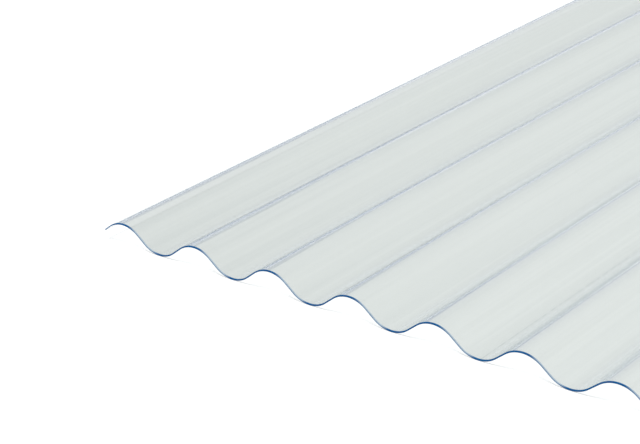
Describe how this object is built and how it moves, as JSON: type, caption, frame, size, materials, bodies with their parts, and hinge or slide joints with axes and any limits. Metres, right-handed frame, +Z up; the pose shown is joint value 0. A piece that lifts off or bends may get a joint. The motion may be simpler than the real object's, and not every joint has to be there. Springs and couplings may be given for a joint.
{
  "type": "corrugated pvc sheet",
  "caption": "Clear corrugated PVC roofing sheet, a thin extruded panel of round waves with plain cut ends and sides.",
  "frame": {"origin": "middle of the sheet's box, on the plane that the valleys rest on", "axes": "+Y along the waves, +X across them, +Z up from the valleys to the crests"},
  "size_m": [1.106, 2, 0.018],
  "materials": {
    "clear_pvc": "gloss"
  },
  "bodies": {
    "root": {"corrugated_sheet": "clear_pvc"}
  },
  "joints": []
}
